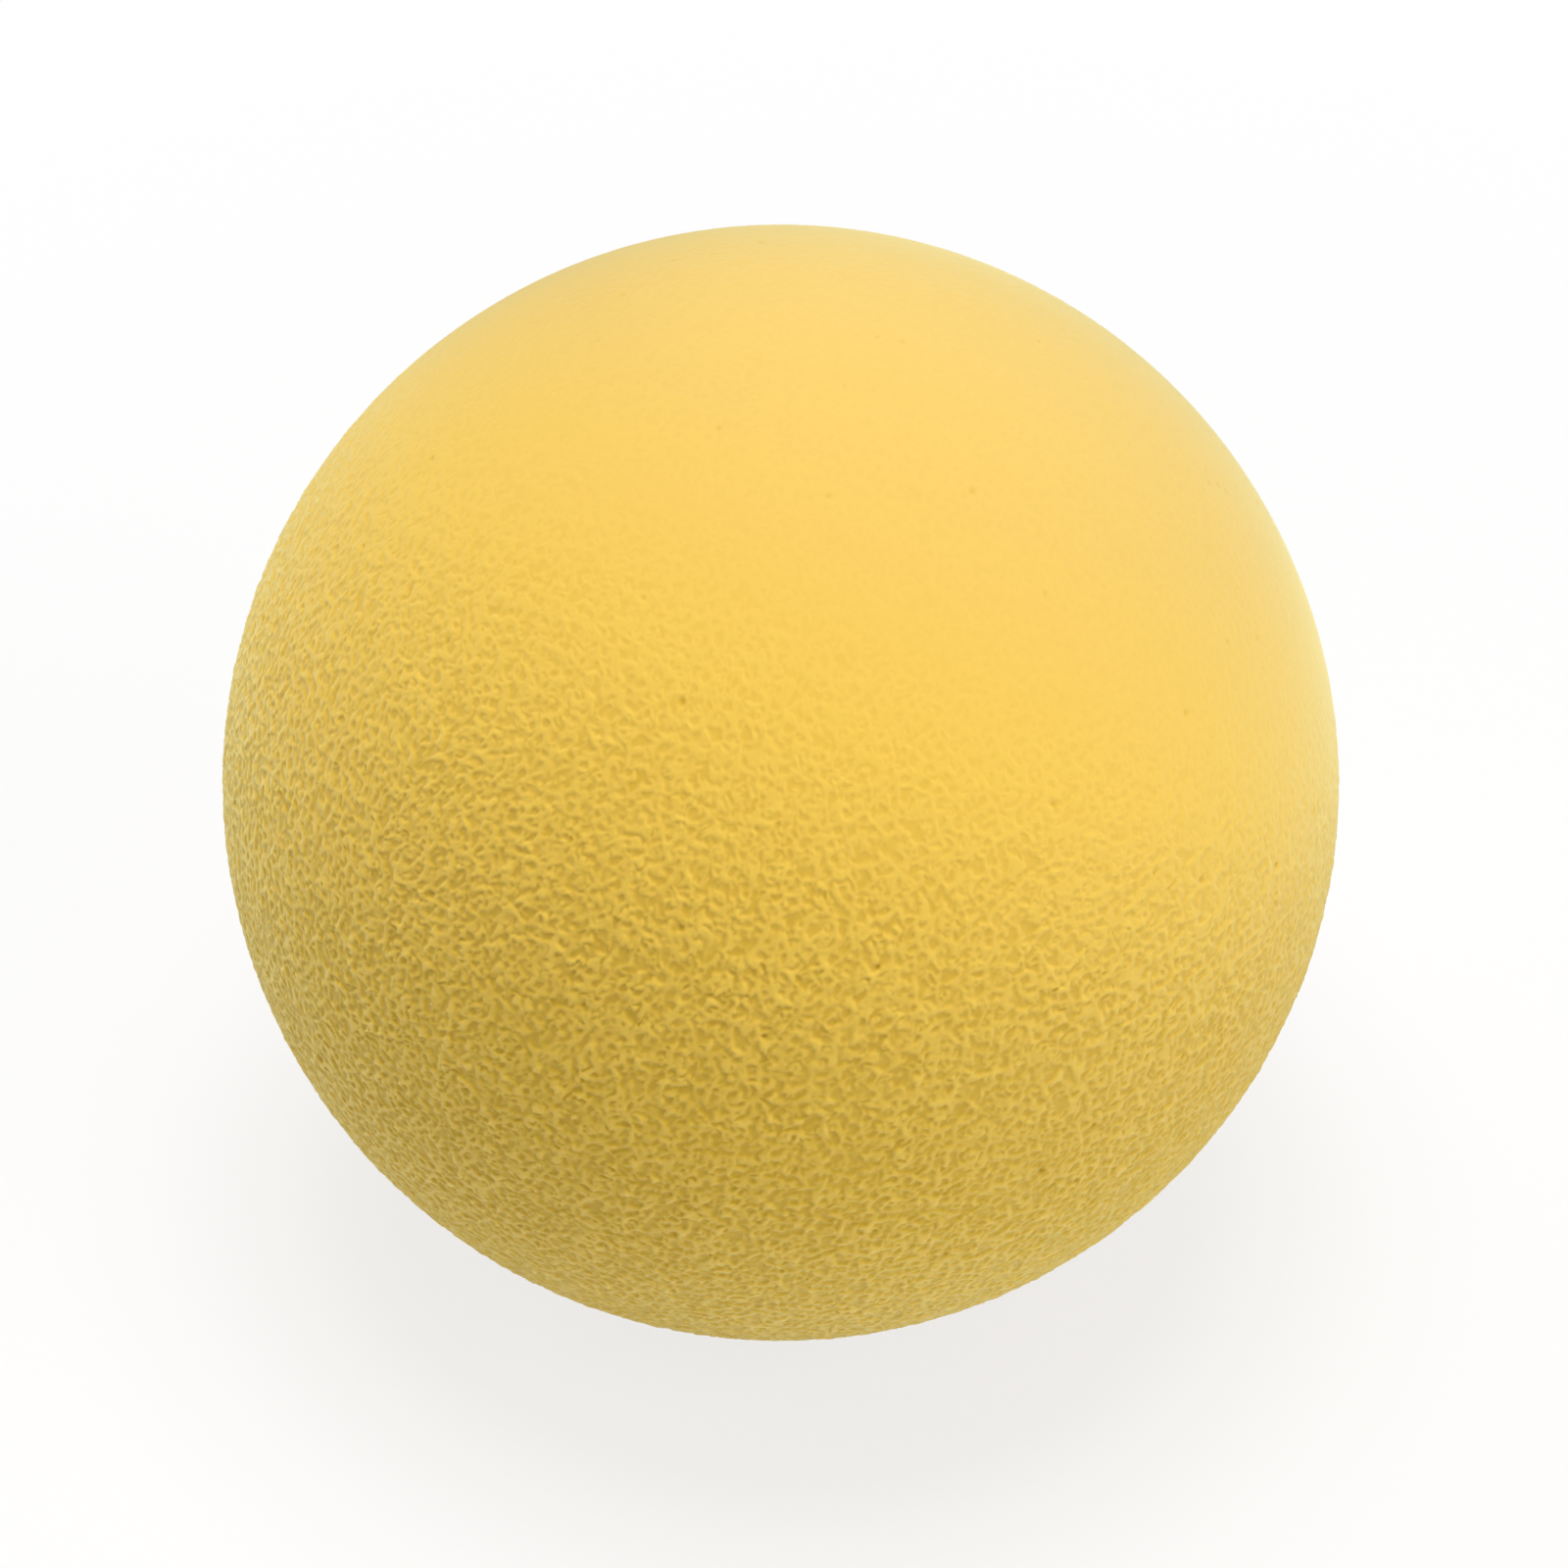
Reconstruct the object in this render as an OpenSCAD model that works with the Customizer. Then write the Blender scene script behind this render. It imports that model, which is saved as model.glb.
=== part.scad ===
// Foam pickleball: one solid ball ground from a block of open-cell polyurethane foam.
// It is the same foam all through, with no skin, core, seam, holes or valve.
// Millimetres. The origin is the centre of the ball and +Z is up.

/* [Ball] */
// Diameter of the ball
ball_d = 74; // [70:0.5:78]

/* [Hidden] */

foam_yellow = [0.97, 0.80, 0.34];

// Sides of the drawn ball, one for every two degrees of turn
ball_sides = 180;

// The ball lies on any point of its surface, so it has no flat to rest on
module foam_ball() {
    color(foam_yellow)
        sphere(d = ball_d, $fn = ball_sides);
}

foam_ball();
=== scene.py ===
"""Looks of the foam pickleball: cut open-cell foam on a white table. Metres unless a name says mm."""
import math

import bpy
import numpy as np
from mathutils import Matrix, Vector


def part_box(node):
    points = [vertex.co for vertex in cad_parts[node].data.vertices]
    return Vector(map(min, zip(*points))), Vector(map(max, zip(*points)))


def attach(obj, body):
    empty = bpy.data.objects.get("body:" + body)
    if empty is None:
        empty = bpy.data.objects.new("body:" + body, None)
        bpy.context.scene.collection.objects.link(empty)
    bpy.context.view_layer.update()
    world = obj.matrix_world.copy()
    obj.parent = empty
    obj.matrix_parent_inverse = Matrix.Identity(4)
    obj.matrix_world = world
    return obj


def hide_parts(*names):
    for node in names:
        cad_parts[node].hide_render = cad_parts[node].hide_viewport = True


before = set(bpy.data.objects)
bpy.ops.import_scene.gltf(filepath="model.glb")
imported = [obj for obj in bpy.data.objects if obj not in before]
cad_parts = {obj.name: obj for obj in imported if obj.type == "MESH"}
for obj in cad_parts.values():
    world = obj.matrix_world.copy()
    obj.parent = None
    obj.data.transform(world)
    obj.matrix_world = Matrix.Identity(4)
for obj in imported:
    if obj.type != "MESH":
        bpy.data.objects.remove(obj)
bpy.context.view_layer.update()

# The ball's size and place come from the frame
NODE = "foam_ball"
MM = 0.001
box_low, box_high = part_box(NODE)
RADIUS = (box_high.z - box_low.z) / 2
RADIUS_MM = RADIUS / MM
FLOOR_Z = box_low.z

# Mesh of the ball: six patches of quads, with a margin around each patch on the flat map
SEED = 20
QUADS_PER_SIDE = 512
MAP_MARGIN = 0.01
WAVES_PER_FIELD = 64

# Cells of the foam: bent walls and hollows, with spare cells around the ball and a start beyond any cell
CELL_MM = 1.0
CELL_SPREAD = 0.75
WALL_WIDTH_MM = 0.145
WALL_BEND_MM = 0.23
WALL_BEND_WAVES_MM = (0.72, 1.45)
HOLLOW_SHARE = 1.4
SPARE_CELLS = 3
FAR_CELLS = 9

# Strands of torn wall, which take the place of cells here and there, and the uneven lie of both
STRAND_WAVES_MM = (0.67, 1.14)
STRAND_SHARPNESS = 1.25
SWAP_WAVES_MM = (0.62, 1.24)
SWAP_STEEPNESS = 2.0
LIE_WAVES_MM = (1.0, 2.0)
LIE_SHARE = 0.25

# Height of the relief, the share of it that lies under the full ball, and a few deeper pinholes
CREST_LIFT = 0.55
RELIEF_MM = 0.047
HIGHEST_SHARE = 0.998
PINHOLES = 200
PINHOLE_RADIUS_MM = (0.12, 0.22)
PINHOLE_DEPTH_MM = (0.08, 0.2)
PINHOLE_REACH = 2

# One side of the ball is ground smoother; turns are degrees from its middle. The colours are painted
# lighter and paler towards this side, as painted light and a painted highlight, and darker away from it,
# as painted shade
SMOOTH_WAY = (0.35, 0.30, 0.89)
SMOOTH_TURN = 50
ROUGH_TURN = 88
FARTHEST_TURN = 180
SMOOTH_RELIEF = 0.13

# Colours of the foam by their turn, with painted light and a pale painted highlight near the smooth side
# and painted shade away from it; and the painted shade in its hollows and painted light on its ridges
PAINTED_LIGHT_YELLOWS = (
    (20, (0.818, 0.538, 0.122)),
    (40, (0.806, 0.523, 0.107)),
    (64, (0.868, 0.552, 0.073)),
    (92, (0.760, 0.482, 0.048)),
    (106, (0.722, 0.457, 0.026)),
)
# Painted shade: hollows multiplied darker and deeper yellow
PAINTED_HOLLOW_SHADE = (0.83, 0.79, 0.40)
# Painted light: ridge tops drawn towards this lighter yellow
PAINTED_RIDGE_LIGHT = (0.85, 0.56, 0.065)
# Height in mm at which the painted shade and light and the roughness are full
FULL_SHADE_AND_ROUGHNESS_MM = 0.1

# Finish of the foam: hollows scatter more than worn ridges, and a fine grain covers both
ROUGHNESS = (0.85, 0.68)
SPECULAR_LEVEL = 0.3
SHEEN_WEIGHT = 0.62
SHEEN_ROUGHNESS = 0.5
SHEEN_TINT = (0.88, 1.0, 0.65)
GRAIN_MM = 0.3
GRAIN_DEPTH_MM = 0.006

# Table: its own grey shows through a share of white, which grows to all white with the distance in radii
TABLE_HALF = 3.0
TABLE_GREY = (0.85, 0.85, 0.85)
TABLE_ROUGHNESS = 0.9
WHITE_SHARES = (0.75, 1.0)
WHITE_RADII = (2, 6)

# Lamps: round softboxes by name, the way they stand from the ball, width and watts; and the even fill
LAMP_DISTANCE = 0.8
LAMPS = (
    ("overhead_softbox", (0.0, 0.0, 1.0), 0.55, 5.05),
    ("right_softbox", (0.83, -0.42, 0.37), 0.6, 2.25),
    ("left_softbox", (-0.80, 0.42, 0.42), 0.6, 1.4),
)
FILL_LEVEL = 0.27
SEEN_LEVEL = 1.0

# Camera
PHOTO_SIDE = 1600
BALL_PIXELS = 570.7
CENTRE_PIXELS = (796.9, 798.2)
LENS_MM = 85
SENSOR_MM = 36
ELEVATION = math.radians(40)
NEAREST_SEEN = 0.01
FARTHEST_SEEN = 20

# Places of the colour sockets on a node that mixes colours
MIX_BASE = 6
MIX_TOP = 7
MIX_RESULT = 2


def random_waves(waves_mm, rng):
    """Waves with even headings and lengths between two limits: turns per mm, and starts."""
    heading = rng.normal(size=(WAVES_PER_FIELD, 3))
    heading /= np.linalg.norm(heading, axis=1)[:, None]
    length = np.exp(rng.uniform(math.log(waves_mm[0]), math.log(waves_mm[1]), WAVES_PER_FIELD))
    turns = heading * 2 * math.pi / length[:, None]
    starts = rng.uniform(0, 2 * math.pi, WAVES_PER_FIELD)
    return zip(turns.astype(np.float32), starts.astype(np.float32))


def wave_field(places_mm, waves_mm, rng):
    """An even random field of unit strength."""
    field = np.zeros(len(places_mm), np.float32)
    for turn, start in random_waves(waves_mm, rng):
        field += np.cos(places_mm @ turn + start)
    return field * np.float32(math.sqrt(2 / WAVES_PER_FIELD))


def even_out(values):
    """The same values with mean 0 and unit spread."""
    return (values - values.mean()) / values.std()


def crest_strands(ways, places_mm, rng):
    """Strands from 0 to 1 along the crests of a random field, where it bends down most sharply."""
    side = np.cross(ways, np.array((0, 0, 1), np.float32))
    side /= np.maximum(np.linalg.norm(side, axis=1), 1e-6)[:, None]
    ahead = np.cross(ways, side)
    bend_side = np.zeros(len(ways), np.float32)
    bend_ahead = np.zeros(len(ways), np.float32)
    twist = np.zeros(len(ways), np.float32)
    for turn, start in random_waves(STRAND_WAVES_MM, rng):
        field = np.cos(places_mm @ turn + start)
        turn_side = side @ turn
        turn_ahead = ahead @ turn
        bend_side += field * turn_side ** 2
        bend_ahead += field * turn_ahead ** 2
        twist += field * turn_side * turn_ahead
    strongest = (bend_side + bend_ahead) / 2 + np.hypot((bend_side - bend_ahead) / 2, twist)
    strongest = np.maximum(strongest, 0)
    return np.tanh(STRAND_SHARPNESS * strongest / strongest.std())


def cut_cells(places_mm, rng):
    """Walls of the foam's cells where the ball's surface cuts them, less the hollows of open cells."""
    bent = [wave_field(places_mm, WALL_BEND_WAVES_MM, rng) for _ in range(3)]
    places = (places_mm + WALL_BEND_MM * np.stack(bent, -1) + RADIUS_MM) / CELL_MM + SPARE_CELLS
    corner = np.floor(places).astype(int)
    across = corner.max() + 2
    # Each cell has a middle in three values, a fourth that makes it smaller and a fifth for how open it is
    seeds = rng.random((across, across, across, 5), np.float32)
    nearest = np.full(len(places), FAR_CELLS, np.float32)
    second = nearest.copy()
    openness = np.zeros(len(places), np.float32)
    for step in np.ndindex(3, 3, 3):
        cell = corner + step - (1, 1, 1)
        seed = seeds[cell[:, 0], cell[:, 1], cell[:, 2]]
        away = np.linalg.norm(cell + seed[:, :3] - places, axis=1) + CELL_SPREAD * seed[:, 3]
        closer = away < nearest
        second = np.where(closer, nearest, np.minimum(second, away))
        openness = np.where(closer, seed[:, 4], openness)
        nearest = np.minimum(nearest, away)
    gap = (second - nearest) * CELL_MM / 2 / WALL_WIDTH_MM
    walls = np.exp(-(gap ** 2))
    hollows = openness ** 2 * (1 - np.exp(-((gap / 2) ** 2)))
    return (walls - HOLLOW_SHARE * hollows).astype(np.float32)


def pinholes(ways, rng):
    """Depth in mm of a scatter of small round holes."""
    depth = np.zeros(len(ways), np.float32)
    for _ in range(PINHOLES):
        middle = rng.normal(size=3)
        middle /= np.linalg.norm(middle)
        radius = rng.uniform(*PINHOLE_RADIUS_MM)
        deepest = rng.uniform(*PINHOLE_DEPTH_MM)
        reach = math.cos(PINHOLE_REACH * radius / RADIUS_MM)
        near = np.flatnonzero(ways @ middle.astype(np.float32) > reach)
        away_mm = RADIUS_MM * np.linalg.norm(ways[near] - middle, axis=1)
        depth[near] = np.maximum(depth[near], deepest * np.exp(-((away_mm / radius) ** 2)))
    return depth


def turn_from_smooth(ways):
    """Degrees between each way and the middle of the smooth side."""
    middle = np.array(Vector(SMOOTH_WAY).normalized(), np.float32)
    return np.degrees(np.arccos(np.clip(ways @ middle, -1, 1)))


def foam_relief(ways, turn, rng):
    """Height of the cut foam in mm: cells and strands that take each other's place, with lifted crests."""
    places_mm = ways * np.float32(RADIUS_MM)
    cells = even_out(cut_cells(places_mm, rng))
    strands = even_out(crest_strands(ways, places_mm, rng))
    swap = 0.5 + 0.5 * np.tanh(SWAP_STEEPNESS * wave_field(places_mm, SWAP_WAVES_MM, rng))
    lie = LIE_SHARE * wave_field(places_mm, LIE_WAVES_MM, rng)
    height = even_out(cells * swap + strands * (1 - swap) + lie)
    height = RELIEF_MM * even_out(np.exp(CREST_LIFT * height))
    rough = np.clip((turn - SMOOTH_TURN) / (ROUGH_TURN - SMOOTH_TURN), 0, 1)
    rough = SMOOTH_RELIEF + (1 - SMOOTH_RELIEF) * rough ** 2 * (3 - 2 * rough)
    return rough * height - np.sqrt(rough) * pinholes(ways, rng)


def cube_ball(cells):
    """A ball's directions, quads and flat map, as six even patches that share their edges."""
    line = np.arange(cells + 1)
    across, along = np.meshgrid(line, line, indexing="ij")
    lattice = []
    for axis in range(3):
        for end in (0, cells):
            face = np.empty((cells + 1, cells + 1, 3), int)
            flip = end == 0
            face[..., axis] = end
            face[..., (axis + 1) % 3] = along if flip else across
            face[..., (axis + 2) % 3] = across if flip else along
            lattice.append(face.reshape(-1, 3))
    lattice = np.concatenate(lattice)
    key = (lattice[:, 0] * (cells + 1) + lattice[:, 1]) * (cells + 1) + lattice[:, 2]
    _, first_use, number = np.unique(key, return_index=True, return_inverse=True)
    spread = np.tan((2 * lattice[first_use] / cells - 1) * math.pi / 4)
    ways = spread / np.linalg.norm(spread, axis=1)[:, None]

    grid = np.arange((cells + 1) ** 2).reshape(cells + 1, cells + 1)
    quad = np.stack([grid[:-1, :-1], grid[1:, :-1], grid[1:, 1:], grid[:-1, 1:]], -1).reshape(-1, 4)
    quads = np.concatenate([number[quad + f * len(grid) ** 2] for f in range(6)])

    spots = np.stack([across, along], -1).reshape(-1, 2)[quad] / cells
    inside = MAP_MARGIN + (1 - 2 * MAP_MARGIN) * spots
    patches = [(inside + (f % 3, f // 3)) / (3, 2) for f in range(6)]
    return ways.astype(np.float32), quads, np.concatenate(patches).reshape(-1, 2)


def add_object(name, data):
    """A new object in the scene."""
    added = bpy.data.objects.new(name, data)
    bpy.context.scene.collection.objects.link(added)
    return added


def make_ball():
    """The ball of cut foam, with its height and turn kept on the mesh for the material."""
    rng = np.random.default_rng(SEED)
    ways, quads, flat = cube_ball(QUADS_PER_SIDE)
    turn = turn_from_smooth(ways)
    height = foam_relief(ways, turn, rng)
    drop = np.minimum(height - np.quantile(height, HIGHEST_SHARE), 0)
    places = ways * (RADIUS + drop[:, None] * MM)
    mesh = bpy.data.meshes.new("foam_ball_cut")
    mesh.vertices.add(len(places))
    mesh.vertices.foreach_set("co", places.astype(np.float32).ravel())
    mesh.loops.add(quads.size)
    mesh.loops.foreach_set("vertex_index", quads.astype(np.int32).ravel())
    mesh.polygons.add(len(quads))
    mesh.polygons.foreach_set("loop_start", np.arange(0, quads.size, 4, dtype=np.int32))
    mesh.update(calc_edges=True)
    mesh.shade_smooth()
    flat_map = mesh.uv_layers.new(name="OFBake")
    flat_map.uv.foreach_set("vector", flat.astype(np.float32).ravel())
    for name, values in (("foam_height_mm", height), ("foam_turn", turn)):
        mesh.attributes.new(name, "FLOAT", "POINT").data.foreach_set("value", values.astype(np.float32))
    return add_object("foam_ball_cut", mesh)


def between(nodes, links, value, sources, results=(0, 1)):
    """A node that takes a value from a range of its own to a range of results."""
    share = nodes.new("ShaderNodeMapRange")
    for end, source, result in zip(("Min", "Max"), sources, results):
        share.inputs["From " + end].default_value = source
        share.inputs["To " + end].default_value = result
    links.new(value, share.inputs["Value"])
    return share


def attribute_between(nodes, links, name, sources, results=(0, 1)):
    """A value kept on the mesh, taken from a range of its own to a range of results."""
    value = nodes.new("ShaderNodeAttribute")
    value.attribute_name = name
    return between(nodes, links, value.outputs["Fac"], sources, results).outputs["Result"]


def blend_colour(nodes, links, share, kind, base, top):
    """A colour socket changed by a colour, as far as the share says."""
    mix = nodes.new("ShaderNodeMix")
    mix.data_type = "RGBA"
    mix.blend_type = kind
    links.new(share, mix.inputs["Factor"])
    links.new(base, mix.inputs[MIX_BASE])
    mix.inputs[MIX_TOP].default_value = (*top, 1)
    return mix.outputs[MIX_RESULT]


def foam_material():
    """Matte yellow foam, with light and shade painted into its colour by turn and height, a sheen and a
    fine grain.
    """
    material = bpy.data.materials.new("yellow_foam")
    material.use_nodes = True
    nodes, links = material.node_tree.nodes, material.node_tree.links
    shader = nodes["Principled BSDF"]
    shader.inputs["Specular IOR Level"].default_value = SPECULAR_LEVEL
    shader.inputs["Sheen Weight"].default_value = SHEEN_WEIGHT
    shader.inputs["Sheen Roughness"].default_value = SHEEN_ROUGHNESS
    shader.inputs["Sheen Tint"].default_value = (*SHEEN_TINT, 1)
    # Painted light and shade by turn: lighter and paler towards the smooth side, darker away from it
    lit_and_shaded_yellows = nodes.new("ShaderNodeValToRGB")
    links.new(attribute_between(nodes, links, "foam_turn", (0, FARTHEST_TURN)), lit_and_shaded_yellows.inputs["Fac"])
    stops = lit_and_shaded_yellows.color_ramp.elements
    for number, (turn, colour) in enumerate(PAINTED_LIGHT_YELLOWS):
        stop = stops[number] if number < 2 else stops.new(turn / FARTHEST_TURN)
        stop.position = turn / FARTHEST_TURN
        stop.color = (*colour, 1)
    # Painted shade in the hollows and painted light on the ridge tops, by height
    hollow_shade_share = attribute_between(nodes, links, "foam_height_mm", (0, -FULL_SHADE_AND_ROUGHNESS_MM))
    ridge_light_share = attribute_between(nodes, links, "foam_height_mm", (0, FULL_SHADE_AND_ROUGHNESS_MM))
    colour = blend_colour(nodes, links, hollow_shade_share, "MULTIPLY", lit_and_shaded_yellows.outputs["Color"], PAINTED_HOLLOW_SHADE)
    colour = blend_colour(nodes, links, ridge_light_share, "MIX", colour, PAINTED_RIDGE_LIGHT)
    links.new(colour, shader.inputs["Base Color"])
    heights = (-FULL_SHADE_AND_ROUGHNESS_MM, FULL_SHADE_AND_ROUGHNESS_MM)
    roughness = attribute_between(nodes, links, "foam_height_mm", heights, ROUGHNESS)
    links.new(roughness, shader.inputs["Roughness"])
    place = nodes.new("ShaderNodeTexCoord")
    grain = nodes.new("ShaderNodeTexNoise")
    grain.inputs["Scale"].default_value = 1 / (GRAIN_MM * MM)
    links.new(place.outputs["Object"], grain.inputs["Vector"])
    bump = nodes.new("ShaderNodeBump")
    bump.inputs["Distance"].default_value = GRAIN_DEPTH_MM * MM
    links.new(grain.outputs["Fac"], bump.inputs["Height"])
    links.new(bump.outputs["Normal"], shader.inputs["Normal"])
    return material


def white_to_the_eye(nodes, links):
    """1 for a ray that shows the surroundings, straight or mirrored, and 0 for one that carries light."""
    path = nodes.new("ShaderNodeLightPath")
    total = path.outputs["Is Camera Ray"]
    for kind in ("Is Glossy Ray", "Is Transmission Ray"):
        add = nodes.new("ShaderNodeMath")
        add.operation = "MAXIMUM"
        links.new(total, add.inputs[0])
        links.new(path.outputs[kind], add.inputs[1])
        total = add.outputs["Value"]
    return total


def table_material():
    """White that shows only a pale shadow, and fades to plain white further out."""
    material = bpy.data.materials.new("white_table")
    material.use_nodes = True
    nodes, links = material.node_tree.nodes, material.node_tree.links
    surface = nodes["Principled BSDF"]
    surface.inputs["Base Color"].default_value = (*TABLE_GREY, 1)
    surface.inputs["Roughness"].default_value = TABLE_ROUGHNESS
    white = nodes.new("ShaderNodeEmission")
    place = nodes.new("ShaderNodeNewGeometry")
    distance = nodes.new("ShaderNodeVectorMath")
    distance.operation = "LENGTH"
    links.new(place.outputs["Position"], distance.inputs[0])
    distances = [radii * RADIUS for radii in WHITE_RADII]
    share = between(nodes, links, distance.outputs["Value"], distances, WHITE_SHARES)
    share.interpolation_type = "SMOOTHSTEP"
    seen = nodes.new("ShaderNodeMath")
    seen.operation = "MULTIPLY"
    links.new(share.outputs["Result"], seen.inputs[0])
    links.new(white_to_the_eye(nodes, links), seen.inputs[1])
    mix = nodes.new("ShaderNodeMixShader")
    links.new(seen.outputs["Value"], mix.inputs["Fac"])
    links.new(surface.outputs["BSDF"], mix.inputs[1])
    links.new(white.outputs["Emission"], mix.inputs[2])
    links.new(mix.outputs["Shader"], nodes["Material Output"].inputs["Surface"])
    return material


def make_floor():
    """The white table that the ball lies on."""
    mesh = bpy.data.meshes.new("floor")
    ends = ((-1, -1), (1, -1), (1, 1), (-1, 1))
    mesh.from_pydata([(x * TABLE_HALF, y * TABLE_HALF, FLOOR_Z) for x, y in ends], [], [(0, 1, 2, 3)])
    mesh.materials.append(table_material())
    floor = add_object("floor", mesh)


def face_ball(thing, way, distance):
    """Puts a lamp or the camera at a distance from the ball's middle, looking at it."""
    way = Vector(way).normalized()
    thing.location = way * distance
    thing.rotation_mode = "QUATERNION"
    thing.rotation_quaternion = (-way).to_track_quat("-Z", "Y")


def make_lamp(name, way, size, watts):
    """A round softbox that faces the ball from the given way."""
    light = bpy.data.lights.new(name, "AREA")
    light.shape = "DISK"
    light.size = size
    light.energy = watts
    face_ball(add_object(name, light), way, LAMP_DISTANCE)


def make_world():
    """Even fill light, and plain white where it is seen."""
    world = bpy.data.worlds.new("studio")
    bpy.context.scene.world = world
    world.use_nodes = True
    nodes, links = world.node_tree.nodes, world.node_tree.links
    back = nodes["Background"]
    back.inputs["Color"].default_value = (1, 1, 1, 1)
    level = between(nodes, links, white_to_the_eye(nodes, links), (0, 1), (FILL_LEVEL, SEEN_LEVEL))
    links.new(level.outputs["Result"], back.inputs["Strength"])


def make_camera():
    """The photo's view: the ball's outline has its size and place in the picture."""
    focal = LENS_MM / SENSOR_MM * PHOTO_SIDE
    distance = RADIUS * math.hypot(focal, BALL_PIXELS) / BALL_PIXELS
    data = bpy.data.cameras.new("camera")
    data.lens = LENS_MM
    data.sensor_width = SENSOR_MM
    data.shift_x = (PHOTO_SIDE / 2 - CENTRE_PIXELS[0]) / PHOTO_SIDE
    data.shift_y = (CENTRE_PIXELS[1] - PHOTO_SIDE / 2) / PHOTO_SIDE
    data.clip_start = NEAREST_SEEN
    data.clip_end = FARTHEST_SEEN
    camera = add_object("camera", data)
    face_ball(camera, (0, -math.cos(ELEVATION), math.sin(ELEVATION)), distance)
    bpy.context.scene.camera = camera


bpy.context.scene.view_settings.view_transform = "Standard"
make_camera()
make_world()
make_floor()
for lamp in LAMPS:
    make_lamp(*lamp)
ball = make_ball()
ball.data.materials.append(foam_material())
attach(ball, "root")
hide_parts(NODE)
